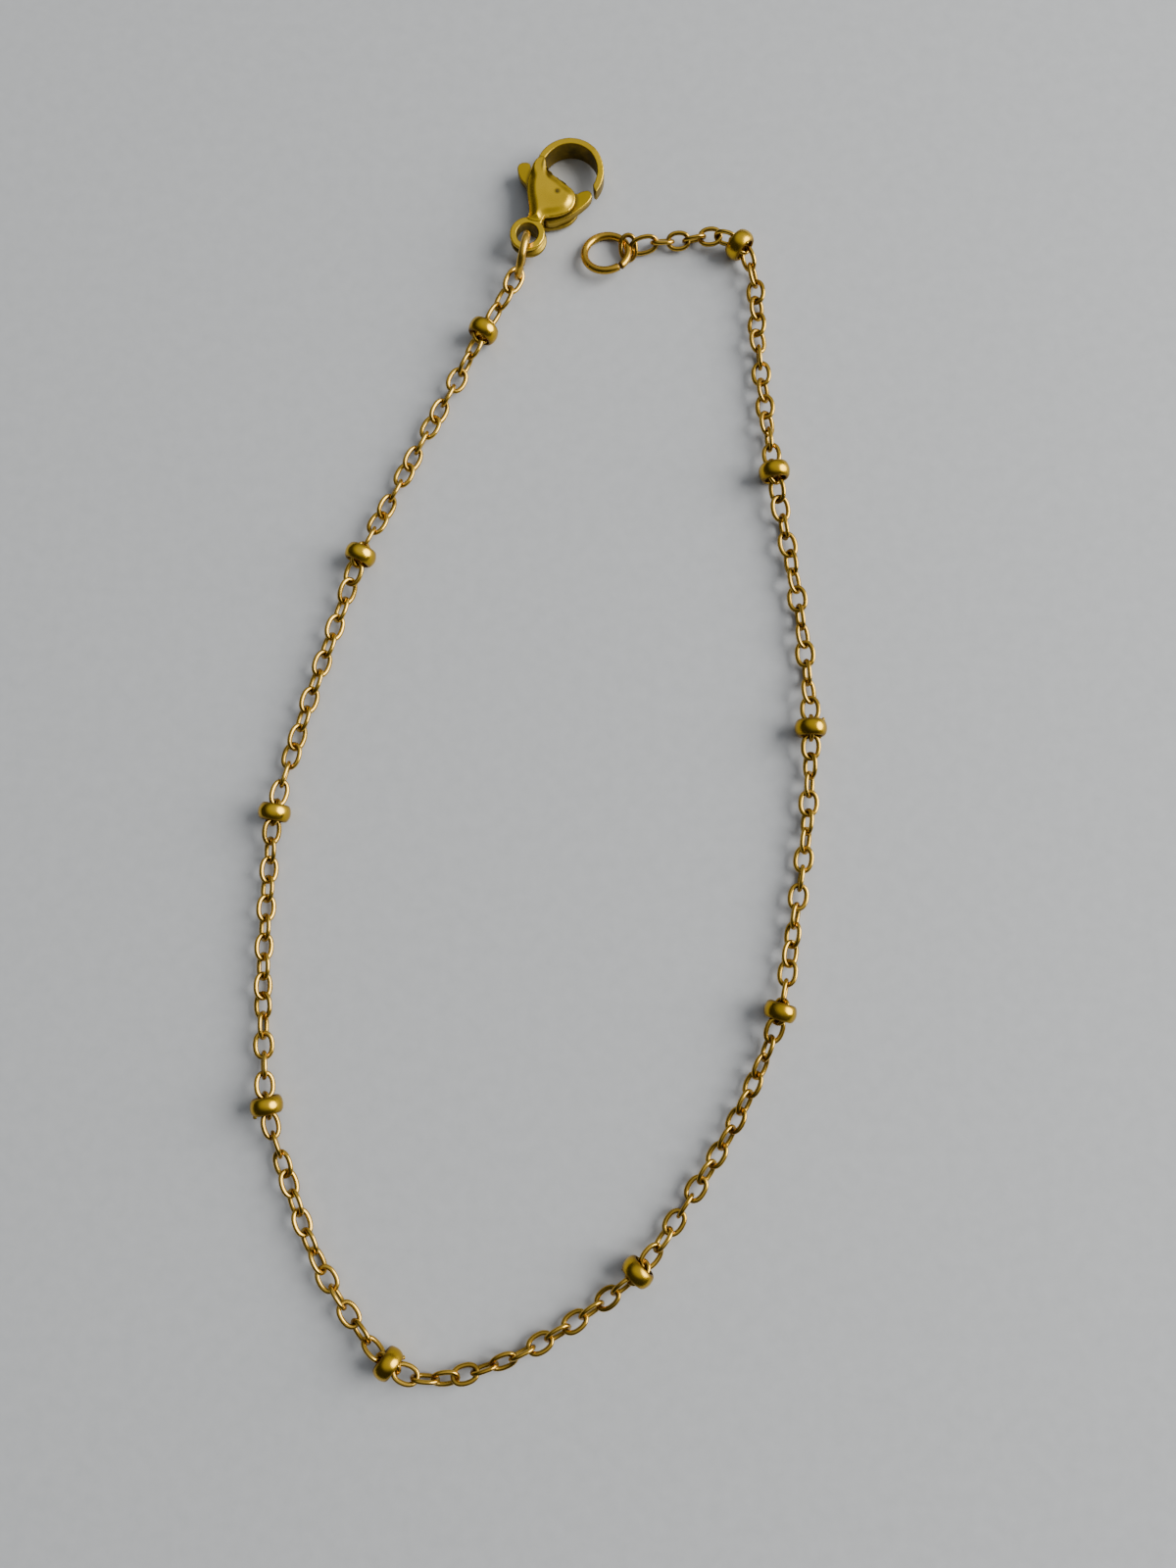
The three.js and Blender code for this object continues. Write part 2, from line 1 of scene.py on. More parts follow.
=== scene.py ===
"""Chain anklet: the looks of its chain, beads, rings and lobster clasp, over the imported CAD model.

Shapes are worked out in millimetres, with angles in degrees, in the frame that part.mjs uses before it
centres the part: the origin lies on the floor under the camera. SHIFT takes that frame to the row's own.
"""
import math
import random

import bmesh
import bpy
import numpy as np
from mathutils import Matrix, Vector, noise


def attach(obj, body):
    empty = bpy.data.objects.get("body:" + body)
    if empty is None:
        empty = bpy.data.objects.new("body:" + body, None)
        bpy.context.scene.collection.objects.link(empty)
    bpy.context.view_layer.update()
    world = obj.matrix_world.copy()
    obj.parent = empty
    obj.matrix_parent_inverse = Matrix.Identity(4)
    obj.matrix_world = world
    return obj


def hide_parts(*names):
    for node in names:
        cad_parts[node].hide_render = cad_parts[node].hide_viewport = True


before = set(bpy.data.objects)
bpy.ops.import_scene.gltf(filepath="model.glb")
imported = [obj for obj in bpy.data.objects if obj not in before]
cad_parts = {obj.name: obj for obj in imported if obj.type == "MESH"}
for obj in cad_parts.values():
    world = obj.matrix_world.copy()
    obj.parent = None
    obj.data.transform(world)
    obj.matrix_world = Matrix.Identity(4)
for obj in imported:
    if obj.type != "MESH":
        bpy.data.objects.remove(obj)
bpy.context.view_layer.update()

MM = 0.001
SHIFT = Vector((5.9872, -15.8782, 0.0006))
UP = Vector((0, 0, 1))

# Camera: the photograph's size, the focal length and the point straight under the camera, in pixels of
# the photograph, and the camera's height
PHOTO_PX = (1200, 1600)
FOCAL_PX = 1200
NADIR_PX = (633, 952)
CAMERA_HEIGHT = 90.75
SENSOR = 36

# The loop that the chain is laid out in
LOOP_WIDTH = 42
LOOP_LENGTH = 89

# Chain link: oval of flattened wire. A roundness is the power of a superellipse, where 2 is an ellipse.
LINK_PITCH = 1.5
LINK_WIDTH = 1.6
LINK_PLAY = 0.01
LINK_ROUNDNESS = 2.25
LINK_STATIONS = 40
WIRE_WIDTH = 0.37
WIRE_THICKNESS = 0.33
WIRE_ROUNDNESS = 2.2
WIRE_SIDES = 14
UNEVEN_ROLL = 4

# The chain's middle line: its height where it lies, and how far along it comes down from a bead
CHAIN_HEIGHT = LINK_WIDTH / 2
SAG_REACH = 3

# The link in the end ring lies over the ring's wire at one end and under it at the other
LAST_LINK_REACH = 0.34
LAST_LINK_RISE = 33
LAST_LINK_SLANT = 0.05

# Saucer bead: a thin pressed shell, with a rolled rim at each end and a bore that is wider midway
BEAD_LENGTH = 1.3
BEAD_RADIUS = 1.25
BORE_RADIUS = 0.86
BORE_BULGE = 0.02
BEAD_WALL = 0.11
BEAD_RIM = 0.02
BEAD_ROUNDNESS = 1.85
BEAD_SIDES = 72
DENT_SINK = 0.012

# Jump ring and end ring, both with a cut. The wire is drawn RING_LOOK thick, on the solids' middle line.
RING_WIRE = 0.56
RING_LOOK = 0.62
RING_STEPS = 120
RING_SIDES = 24
RING_CLEARANCE = 0.1
RING_CUT = 0.16
CUT_ROUNDING = 0.05
JUMP_RING_DIAMETER = 3.8
JUMP_RING_RADIUS = (JUMP_RING_DIAMETER - RING_WIRE) / 2
JUMP_RING_TURN = -12
JUMP_RING_LEAN = 10
JUMP_RING_HANG = 0.25
JUMP_RING_HOLD = 205
JUMP_RING_CUT_AT = -90
END_RING_DIAMETER = 4.15
END_RING_RADIUS = (END_RING_DIAMETER - RING_WIRE) / 2
END_RING_CENTRE = Vector((-0.0228 * LOOP_WIDTH, 0.6205 * LOOP_LENGTH))
END_RING_HIGH = -75
END_RING_TILT = 13
END_RING_HOLD = 14
END_RING_CUT_AT = -53
END_RING_CUT_STEP = 0.08

# Lobster clasp
CLASP_EYE = Vector((-0.175 * LOOP_WIDTH, 0.6317 * LOOP_LENGTH, 0))
CLASP_TURN = -33.5
PLATE_THICKNESS = 0.62
LEVER_THICKNESS = 0.86
LEVER_CLEARANCE = 0.06
CLASP_THICKNESS = 2 * PLATE_THICKNESS + LEVER_THICKNESS + 2 * LEVER_CLEARANCE
EYE_TO_HOOK = 6.5
HOOK_RADIUS = 2.8
HOOK_BAND = 0.56
HOOK_INSET = 0.15
HOOK_TAPER = 0.4
HOOK_TOP = CLASP_THICKNESS - HOOK_INSET
EYE_RADIUS = 1.42
EYE_HOLE_RADIUS = 0.88
EYE_THICKNESS = 1.05
RIVET_RADIUS = 0.2
RIVET_INSET = 0.038

# The clasp's surface: domed faces with a dent over the rivet, a groove and a lower rim at the eye, the
# back plate's edge, and how far the gate's top is sunk
DOME_DROP = 0.27
DOME_REACH = 0.8
RIVET_DENT = 0.04
GROOVE_DEPTH = 0.14
GROOVE_BELOW_TOP = 0.52
LOWER_RIM = Vector((0.17, -0.04))
BACK_EDGE = 0.27
LEVER_SUNK = 0.12

# Base colours
LIGHT_GOLD = (0.68, 0.42, 0.06)
DEEP_GOLD = (0.45, 0.26, 0.03)
BEAD_LIGHT = (0.68, 0.43, 0.03)
BEAD_DEEP = (0.45, 0.27, 0.015)
CLASP_LIGHT = (0.72, 0.465, 0.03)
CLASP_DEEP = (0.52, 0.33, 0.014)
# The lever's colours are darker copies of the clasp's: painted shade for the gate sunk between the plates
LEVER_SHADED_LIGHT = (0.56, 0.365, 0.025)
LEVER_SHADED_DEEP = (0.40, 0.26, 0.012)
# BROWN and OLIVE: the dark colours of the painted shade in the metal's hollows
BROWN = (0.12, 0.06, 0.012)
OLIVE = (0.075, 0.06, 0.02)
FLOOR_DARK = (0.44, 0.452, 0.462)
FLOOR_PALE = (0.475, 0.487, 0.497)
FLOOR_SCALE = 900

# Wear of the metal and the painted shade in its hollows: scales of their patterns per metre, and how
# strongly they show
SHADE_SCALE = 260
SHADE_PATCH_SCALE = 700
BUMP_SCALE = 1100
SCRATCH_SCALE = 1500
PAINTED_SHADE_STRENGTH = 0.92
PAINTED_SHADE_ROUGHNESS = 0.25
BUMP_STRENGTH = 0.12
BUMP_HEIGHT = 0.00001

# The room: where its light is brightest, the cosines between which it grows, and its strengths
SKY_BRIGHT = Vector((0.25, 0.42, 0.87)).normalized()
SKY_RANGE = {"From Min": 0.4, "From Max": 1.0, "To Min": 0.05, "To Max": 0.78}
SKY_COLOUR = (0.93, 0.96, 1.0, 1)

# The chain's route between the rings: x and y as shares of the loop, and whether a bead sits there
ROUTE = [
    (-0.2602, 0.5425, True), (-0.3429, 0.4697, False), (-0.4167, 0.4022, False),
    (-0.4867, 0.3336, True), (-0.5405, 0.2596, False), (-0.5929, 0.1798, False),
    (-0.6338, 0.1036, True), (-0.6452, 0.0337, False), (-0.6464, -0.0562, False),
    (-0.6302, -0.1437, True), (-0.5929, -0.2022, False), (-0.5190, -0.2820, False),
    (-0.4040, -0.3487, True), (-0.3381, -0.3618, False), (-0.2286, -0.3517, False),
    (-0.1024, -0.3225, False), (0.0286, -0.2753, True), (0.1238, -0.2157, False),
    (0.2143, -0.1449, False), (0.2836, -0.0652, True), (0.3143, 0.0112, False),
    (0.3405, 0.0921, False), (0.3498, 0.1754, True), (0.3452, 0.2360, False), (0.3238, 0.3191, False),
    (0.2924, 0.4067, True), (0.2786, 0.4719, False), (0.2667, 0.5393, False), (0.2643, 0.5865, False),
    (0.2360, 0.6234, True), (0.1786, 0.6337, False), (0.1238, 0.6303, False), (0.0714, 0.6298, False),
]

# Stretch by stretch between beads: share of the pitch a link takes up as it lies, and runs of links,
# each with its count, the roll of its first link and the turn to each next one. Roll 0 is flat.
STRETCHES = [
    (1.1, [(1, 150, 60), (2, 30, 75)]),
    (1, [(4, 160, 60), (10, 70, 60)]),
    (1, [(2, 130, 60), (8, 135, 90), (4, 135, 60)]),
    (0.98, [(10, 45, 90), (5, 25, 75)]),
    (1, [(1, 55, 90), (3, 135, 120), (4, 135, 90), (2, 110, 60), (4, 85, 70)]),
    (1, [(1, 35, 90), (6, 155, 120), (2, 90, 65), (5, 60, 90)]),
    (0.97, [(2, 150, 55), (2, 105, 65), (2, 85, 80), (7, 50, 90), (2, 110, 80)]),
    (0.965, [(2, 130, 125), (2, 155, 60), (3, 125, 120), (2, 85, 80), (2, 55, 60), (4, 0, 60)]),
    (1, [(1, 90, 70), (6, 160, 60), (3, 160, 70), (3, 10, 90), (1, 130, 60)]),
    (0.945, [(1, 40, 60), (4, 160, 120), (2, 50, 110), (3, 90, 120), (2, 45, 110), (2, 60, 55)]),
    (0.86, [(2, 25, 80), (5, 170, 80), (1, 50, 60)]),
]

# Clasp outlines: x as shares of HOOK_RADIUS, y as shares of EYE_TO_HOOK, from the eye's centre
PLATE_OUTLINE = [
    (-0.23, 0.17), (0.1, 0.22), (0.12, 0.3), (0.31, 0.37), (0.5, 0.455), (0.61, 0.54), (0.63, 0.64),
    (0.565, 0.715), (0.465, 0.77), (0.3, 0.805), (0, 0.82), (-0.335, 0.837), (-0.585, 0.85),
    (-0.865, 0.95), (-1, 0.93), (-1.06, 0.85), (-1.05, 0.77), (-0.975, 0.66), (-0.86, 0.55),
    (-0.68, 0.44), (-0.47, 0.34), (-0.31, 0.25),
]
NECK_OUTLINE = [(-0.24, 0.14), (0.16, 0.14), (0.14, 0.3), (-0.3, 0.3)]
LEVER_OUTLINE = [
    (-1.125, 0.8), (-1.23, 0.846), (-1.36, 0.838), (-1.47, 0.8), (-1.507, 0.746), (-1.41, 0.677),
    (-1.196, 0.612), (-0.964, 0.577), (-0.57, 0.446), (-0.143, 0.338), (0.25, 0.308), (0.554, 0.454),
    (0.707, 0.585), (0.839, 0.754), (0.871, 0.854), (0.814, 0.926), (0.661, 0.938), (0.518, 0.88),
    (0.357, 0.815), (-0.43, 0.815), (-0.93, 0.823),
]
PIVOT = Vector((0.03 * HOOK_RADIUS, 0.666 * EYE_TO_HOOK))
LEVER_TIP = Vector((0.871 * HOOK_RADIUS, 0.926 * EYE_TO_HOOK))
HOOK_CENTRE = Vector((-0.07 * HOOK_RADIUS, EYE_TO_HOOK))
SLOT_LOW = Vector((-1.3 * HOOK_RADIUS, 0.28 * EYE_TO_HOOK))
SLOT_HIGH = Vector((0.95 * HOOK_RADIUS, 0.865 * EYE_TO_HOOK))
HOOK_END_ANGLE = -6
HOOK_ROOT_ANGLE = 206


# Small helpers

def rad(degrees):
    return math.radians(degrees)


def smoothstep(value, low, high):
    t = min(1, max(0, (value - low) / (high - low)))
    return t * t * (3 - 2 * t)


def add_piece(name, geometry, material, body, node, place=Matrix.Identity(4)):
    """A smooth-shaded mesh in the row frame from points in millimetres, standing for a CAD node."""
    verts, faces, painted_shade = geometry
    mesh = bpy.data.meshes.new(name)
    mesh.from_pydata([(place @ Vector(v) + SHIFT) * MM for v in verts], [], faces)
    mesh.polygons.foreach_set("use_smooth", [True] * len(mesh.polygons))
    mesh.update()
    obj = bpy.data.objects.new(name, mesh)
    bpy.context.scene.collection.objects.link(obj)
    obj.data.materials.append(material)
    # a per-point attribute of how much painted shade darkens the metal there
    attribute = obj.data.attributes.new("painted_shade", "FLOAT", "POINT")
    attribute.data.foreach_set("value", np.asarray(painted_shade, np.float32))
    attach(obj, body)
    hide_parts(node)


def tube_faces(rows, sides, closed, flip=False):
    """Quads over rows of points round a sweep, whose last row joins the first where it is closed."""
    faces = []
    for row in range(rows if closed else rows - 1):
        nxt = (row + 1) % rows
        for k in range(sides):
            j = (k + 1) % sides
            a, b, c, d = row * sides + k, nxt * sides + k, nxt * sides + j, row * sides + j
            faces.append((a, d, c, b) if flip else (a, b, c, d))
    return faces


# Materials

class Nodes:
    """A material's node tree, with short calls to add and join nodes."""

    def __init__(self, name):
        self.material = bpy.data.materials.new(name)
        self.material.use_nodes = True
        self.tree = self.material.node_tree
        self.shader = self.tree.nodes["Principled BSDF"]
        self.place = self.add("ShaderNodeTexCoord").outputs["Object"]

    def add(self, kind, **settings):
        node = self.tree.nodes.new(kind)
        for key, value in settings.items():
            setattr(node, key, value)
        return node

    def join(self, output, socket):
        self.tree.links.new(output, socket)

    def noise(self, scale, detail, roughness=0.55):
        node = self.add("ShaderNodeTexNoise")
        node.inputs["Scale"].default_value = scale
        node.inputs["Detail"].default_value = detail
        node.inputs["Roughness"].default_value = roughness
        self.join(self.place, node.inputs["Vector"])
        return node.outputs["Fac"]

    def ramp(self, value, stops):
        node = self.add("ShaderNodeValToRGB")
        ramp = node.color_ramp
        while len(ramp.elements) < len(stops):
            ramp.elements.new(0.5)
        for element, (position, colour) in zip(ramp.elements, stops):
            element.position = position
            element.color = (*colour, 1)
        self.join(value, node.inputs["Fac"])
        return node.outputs["Color"]

    def range(self, value, low_in, high_in, low, high):
        node = self.add("ShaderNodeMapRange")
        numbers = {"From Min": low_in, "From Max": high_in, "To Min": low, "To Max": high}
        for socket, number in numbers.items():
            node.inputs[socket].default_value = number
        self.join(value, node.inputs["Value"])
        return node.outputs["Result"]

    def mix(self, factor, first, second):
        """The first colour, a node's, mixed with the second, a fixed one."""
        node = self.add("ShaderNodeMix", data_type="RGBA")
        self.join(factor, node.inputs["Factor"])
        self.join(first, node.inputs[6])
        node.inputs[7].default_value = (*second, 1)
        return node.outputs[2]

    def math(self, operation, first, second):
        node = self.add("ShaderNodeMath", operation=operation)
        for socket, value in zip(node.inputs, (first, second)):
            if isinstance(value, (int, float)):
                socket.default_value = value
            else:
                self.join(value, socket)
        return node.outputs["Value"]


def gold(name, light, deep, shade_colour, roughness):
    """Gold-coloured metal: uneven colour and polish, darkened with painted shade, in patches, where the
    per-point attribute says.
    """
    n = Nodes(name)
    colour = n.ramp(n.noise(SHADE_SCALE, 2), [(0.3, deep), (0.7, light)])
    attribute = n.add("ShaderNodeAttribute", attribute_name="painted_shade").outputs["Fac"]
    # painted shade: the attribute, broken into patches, mixes the dark colour into the gold
    shade_patches = n.range(n.noise(SHADE_PATCH_SCALE, 5, 0.65), 0.3, 0.65, 0.5, 1)
    shade_amount = n.math("MULTIPLY", n.math("MULTIPLY", attribute, shade_patches), PAINTED_SHADE_STRENGTH)
    n.join(n.mix(shade_amount, colour, shade_colour), n.shader.inputs["Base Color"])
    n.shader.inputs["Metallic"].default_value = 1
    fine = n.range(n.noise(SCRATCH_SCALE, 3), 0.3, 0.7, roughness - 0.04, roughness + 0.05)
    rough = n.math("ADD", fine, n.math("MULTIPLY", shade_amount, PAINTED_SHADE_ROUGHNESS))
    n.join(rough, n.shader.inputs["Roughness"])
    height = n.add("ShaderNodeBump")
    height.inputs["Strength"].default_value = BUMP_STRENGTH
    height.inputs["Distance"].default_value = BUMP_HEIGHT
    n.join(n.noise(BUMP_SCALE, 2, 0.5), height.inputs["Height"])
    n.join(height.outputs["Normal"], n.shader.inputs["Normal"])
    return n.material


chain_gold = gold("chain_gold_polished", LIGHT_GOLD, DEEP_GOLD, BROWN, roughness=0.2)
bead_gold = gold("bead_gold_pressed", BEAD_LIGHT, BEAD_DEEP, BROWN, roughness=0.23)
ring_gold = gold("ring_gold_wire", LIGHT_GOLD, DEEP_GOLD, BROWN, roughness=0.27)
clasp_gold = gold("clasp_gold_tumbled", CLASP_LIGHT, CLASP_DEEP, OLIVE, roughness=0.27)
# painted shade: the gate between the plates gets a darker gold than the body, with a satin roughness
lever_gold_shaded = gold("lever_gold_satin_shaded", LEVER_SHADED_LIGHT, LEVER_SHADED_DEEP, OLIVE, roughness=0.3)


# Rings

class Ring:
    """A ring's place: its own x axis is where it is held, its plane is x and y."""

    def __init__(self, radius, x_axis, y_axis, centre):
        self.radius = radius
        z_axis = x_axis.cross(y_axis)
        self.matrix = Matrix((x_axis, y_axis, z_axis)).transposed().to_4x4()
        self.matrix.translation = centre

    def inner_side(self, angle):
        reach = self.radius - RING_WIRE / 2 - RING_CLEARANCE
        return self.matrix @ Vector((reach * math.cos(angle), reach * math.sin(angle), 0))

    def geometry(self, cut_angle, cut_step=0.0):
        """Round wire with rounded ends at its cut, where they lie cut_step out of line."""
        verts, painted_shade = [], []
        trim = (RING_CUT / 2 + CUT_ROUNDING) / self.radius
        sweep = 2 * math.pi - 2 * trim
        stations = [(0, 0, -1), (0, 0.6, -1), (0, 0.88, -0.6)]
        stations += [(i / RING_STEPS, 1, 0) for i in range(RING_STEPS + 1)]
        stations += [(1, 0.88, 0.6), (1, 0.6, 1), (1, 0, 1)]
        for share, size, past in stations:
            angle = cut_angle + trim + share * sweep + past * CUT_ROUNDING / self.radius
            lift = cut_step * (share - 0.5) * smoothstep(abs(share - 0.5), 0.3, 0.5)
            out = Vector((math.cos(angle), math.sin(angle), 0))
            centre = out * self.radius + UP * lift
            reach = RING_LOOK / 2 * size
            for k in range(RING_SIDES):
                turn = 2 * math.pi * k / RING_SIDES
                verts.append(centre + out * (reach * math.cos(turn)) + UP * (reach * math.sin(turn)))
                # painted shade darkens the wire's two ends at the cut
                painted_shade.append(smoothstep(abs(share - 0.5), 0.485, 0.5))
        faces = tube_faces(len(stations), RING_SIDES, closed=False)
        faces.append(tuple(range(RING_SIDES)))
        faces.append(tuple(reversed(range(len(verts) - RING_SIDES, len(verts)))))
        return verts, faces, painted_shade


along = Vector((0, 1, 0))
along.rotate(Matrix.Rotation(rad(JUMP_RING_TURN), 3, "Z"))
rise = UP.copy()
rise.rotate(Matrix.Rotation(rad(JUMP_RING_LEAN), 3, along))
jump_centre = CLASP_EYE - along * (JUMP_RING_RADIUS + JUMP_RING_HANG)
jump_centre.z = JUMP_RING_RADIUS * rise.z + RING_WIRE / 2
jump_ring = Ring(JUMP_RING_RADIUS, along, rise, jump_centre)

high = Vector((math.cos(rad(END_RING_HIGH)), math.sin(rad(END_RING_HIGH)), 0))
normal = UP.copy()
normal.rotate(Matrix.Rotation(rad(-END_RING_TILT), 3, UP.cross(high)))
hold = Vector((math.cos(rad(END_RING_HOLD)), math.sin(rad(END_RING_HOLD)), 0))
hold = (hold - normal * hold.dot(normal)).normalized()
end_centre = END_RING_CENTRE.to_3d()
end_centre.z = RING_WIRE / 2 + END_RING_RADIUS * math.sin(rad(END_RING_TILT))
end_ring = Ring(END_RING_RADIUS, hold, normal.cross(hold), end_centre)

chain_start = jump_ring.inner_side(rad(JUMP_RING_HOLD))
chain_end = end_ring.inner_side(0)

geometry = jump_ring.geometry(rad(JUMP_RING_CUT_AT))
add_piece("jump_ring_wire", geometry, ring_gold, "anklet", "jump_ring", jump_ring.matrix)

geometry = end_ring.geometry(rad(END_RING_CUT_AT - END_RING_HOLD), END_RING_CUT_STEP)
add_piece("end_ring_wire", geometry, ring_gold, "anklet", "end_ring", end_ring.matrix)


# The chain's route

class Route:
    """Centripetal Catmull-Rom curve on the floor through given points, measured along its length."""

    STEPS = 120

    def __init__(self, points):
        points = [Vector((p[0], p[1])) for p in points]
        padded = [2 * points[0] - points[1], *points, 2 * points[-1] - points[-2]]
        samples = []
        for p0, p1, p2, p3 in zip(padded, padded[1:], padded[2:], padded[3:]):
            d0, d1, d2 = (math.sqrt((b - a).length) for a, b in ((p0, p1), (p1, p2), (p2, p3)))
            t1 = ((p1 - p0) / d0 - (p2 - p0) / (d0 + d1) + (p2 - p1) / d1) * d1
            t2 = ((p2 - p1) / d1 - (p3 - p1) / (d1 + d2) + (p3 - p2) / d2) * d1
            for k in range(self.STEPS):
                t = k / self.STEPS
                samples.append(p1 + t1 * t + (3 * (p2 - p1) - 2 * t1 - t2) * t**2
                               + (2 * (p1 - p2) + t1 + t2) * t**3)
        samples.append(points[-1])
        self.xy = np.array([tuple(p) for p in samples])
        self.arcs = np.concatenate([[0], np.cumsum(np.linalg.norm(np.diff(self.xy, axis=0), axis=1))])
        self.length = self.arcs[-1]

    def arc_of(self, index):
        return self.arcs[index * self.STEPS]

    def at(self, arc):
        arc = min(max(arc, 0), self.length)
        return tuple(float(np.interp(arc, self.arcs, self.xy[:, axis])) for axis in (0, 1))


route = Route([chain_start, *((x * LOOP_WIDTH, y * LOOP_LENGTH) for x, y, _ in ROUTE), chain_end])
bead_arcs = [route.arc_of(i + 1) for i, row in enumerate(ROUTE) if row[2]]


def resting(distance):
    return 1 - smoothstep(abs(distance), LINK_PITCH / 2, LINK_PITCH / 2 + SAG_REACH)


def chain_point(arc):
    height = CHAIN_HEIGHT + sum((BEAD_RADIUS - CHAIN_HEIGHT) * resting(arc - b) for b in bead_arcs)
    height += (chain_start.z - CHAIN_HEIGHT) * resting(arc)
    height += (chain_end.z - CHAIN_HEIGHT) * resting(arc - route.length)
    return Vector((*route.at(arc), height))


def roll_at(runs, link):
    for count, first, turn in runs:
        if link < count:
            return first + link * turn
        link -= count
    count, first, turn = runs[-1]
    return first + (link + count) * turn


# Where each link bears on the next, how far each is rolled, and which links go through a bead
joints, rolls, bead_links = [chain_start], [], []
stops = [0, *bead_arcs, route.length]
for index, (lie, runs) in enumerate(STRETCHES):
    length = stops[index + 1] - stops[index]
    halves = (0.5 if index > 0 else 0) + (0.5 if index < len(STRETCHES) - 1 else 0)
    whole = math.floor(length / (LINK_PITCH * lie) - halves + 0.5)
    pitch = length / (whole + halves)
    if index > 0:
        bead_links.append(len(rolls))
        rolls.append(roll_at(runs, 0))
        joints.append(chain_point(stops[index] + pitch / 2))
    for k in range(whole):
        rolls.append(roll_at(runs, k + 1 if index > 0 else k))
        joints.append(chain_point(stops[index] + (k + 1.5 if index > 0 else k + 1) * pitch))


def link_axes(start, end, roll):
    """A link's own axes: a along it, u across it in its plane, v through its thickness."""
    a = (end - start).normalized()
    u = UP.cross(a).normalized()
    u.rotate(Matrix.Rotation(rad(roll), 3, a))
    return a, u, a.cross(u)


# Chain links

def rounded(angle, power):
    """A point of a rounded rectangle of half sizes 1, as a superellipse."""
    c, s = math.cos(angle), math.sin(angle)
    return math.copysign(abs(c) ** (2 / power), c), math.copysign(abs(s) ** (2 / power), s)


def link_geometry(centre, a, u, v, inner, dice):
    """One link: a flattened, round-edged wire swept round an oval, with small unevenness."""
    verts, painted_shade = [], []
    half_long = inner / 2 + WIRE_WIDTH / 2
    half_wide = (LINK_WIDTH - WIRE_WIDTH) / 2 * dice.uniform(0.97, 1.02)
    for station in range(LINK_STATIONS):
        angle = 2 * math.pi * station / LINK_STATIONS
        x, y = rounded(angle, LINK_ROUNDNESS)
        before = rounded(angle - 0.02, LINK_ROUNDNESS)
        after = rounded(angle + 0.02, LINK_ROUNDNESS)
        tangent = a * ((after[0] - before[0]) * half_long) + u * ((after[1] - before[1]) * half_wide)
        out = tangent.cross(v).normalized()
        middle = centre + a * (x * half_long) + u * (y * half_wide)
        at_end = smoothstep(abs(x), 0.72, 1.0)
        for k in range(WIRE_SIDES):
            across, through = rounded(2 * math.pi * k / WIRE_SIDES, WIRE_ROUNDNESS)
            inside = smoothstep(-across, -0.1, 0.9)
            verts.append(middle + out * (across * WIRE_WIDTH / 2) + v * (through * WIRE_THICKNESS / 2))
            # painted shade at the link's ends, where the next links pass through, and along the wire's
            # inner side
            painted_shade.append(at_end * (0.45 + 0.55 * inside) + 0.3 * inside)
    return verts, tube_faces(LINK_STATIONS, WIRE_SIDES, closed=True, flip=True), painted_shade


end_ring_wire = end_ring.matrix @ Vector((END_RING_RADIUS, 0, 0))
last_link_out = LAST_LINK_REACH - RING_WIRE / 2


def link_place(i, roll):
    """A link's centre, axes and inner length. The last link lies round the end ring's wire."""
    start, end, play = joints[i], joints[i + 1], LINK_PLAY
    if i == len(rolls) - 1:
        u = Vector((1, LAST_LINK_SLANT, 0)).normalized()
        a = Vector((-LAST_LINK_SLANT, math.cos(rad(LAST_LINK_RISE)), math.sin(rad(LAST_LINK_RISE))))
        a.normalize()
        v = a.cross(u).normalized()
        u = v.cross(a)
        return end_ring_wire + u * last_link_out, a, u, v, LINK_PITCH
    if i == len(rolls) - 2:
        end = end_ring_wire + Vector((last_link_out + LINK_WIDTH / 2 - WIRE_WIDTH, 0, 0))
        play = 0
    return (start + end) / 2, *link_axes(start, end, roll), (end - start).length - play


def chain_links(first, last):
    dice = random.Random(first + 7)
    verts, faces, painted_shade = [], [], []
    for i in range(first, last + 1):
        roll = rolls[i] + dice.uniform(-UNEVEN_ROLL, UNEVEN_ROLL)
        part, part_faces, part_painted_shade = link_geometry(*link_place(i, roll), dice)
        base = len(verts)
        verts += part
        faces += [tuple(base + q for q in face) for face in part_faces]
        painted_shade += part_painted_shade
    return verts, faces, painted_shade


middle_link = (bead_links[4] + bead_links[5]) // 2
geometry = chain_links(0, middle_link)
add_piece("chain_links_1", geometry, chain_gold, "anklet", "chain_1")
geometry = chain_links(middle_link + 1, len(rolls) - 1)
add_piece("chain_links_2", geometry, chain_gold, "anklet", "chain_2")


# Beads

# Small burrs left at some beads' rims: bead number, angle round the bore, end (-1 or 1), size
BURRS = [
    (4, 150, 1, 0.16), (4, 200, 1, 0.12), (5, 250, 1, 0.17), (5, 285, 1, 0.13), (5, 330, 1, 0.15),
    (8, 160, 1, 0.13), (8, 215, -1, 0.11), (10, 95, -1, 0.12), (1, 40, -1, 0.08), (6, 10, -1, 0.08),
]


def bead_profile():
    """Closed outline of the shell's wall as (radius, along) points: round side, rolled rims, bore."""
    middle = BORE_RADIUS + BEAD_WALL / 2
    points = []

    def rim(start, centre):
        for k in range(1, 6):
            angle = rad(start + 180 * k / 6)
            points.append((middle + math.cos(angle) * BEAD_WALL / 2, centre + math.sin(angle) * BEAD_RIM))

    for k in range(25):
        across, along_side = rounded(rad(-90 + 180 * k / 24), BEAD_ROUNDNESS)
        points.append((middle + across * (BEAD_RADIUS - middle), along_side * BEAD_LENGTH / 2))
    rim(90, BEAD_LENGTH / 2 - BEAD_RIM)
    for k in range(1, 8):
        points.append((BORE_RADIUS + BORE_BULGE * math.sin(math.pi * k / 8), BEAD_LENGTH * (0.5 - k / 8)))
    rim(180, BEAD_RIM - BEAD_LENGTH / 2)
    return points


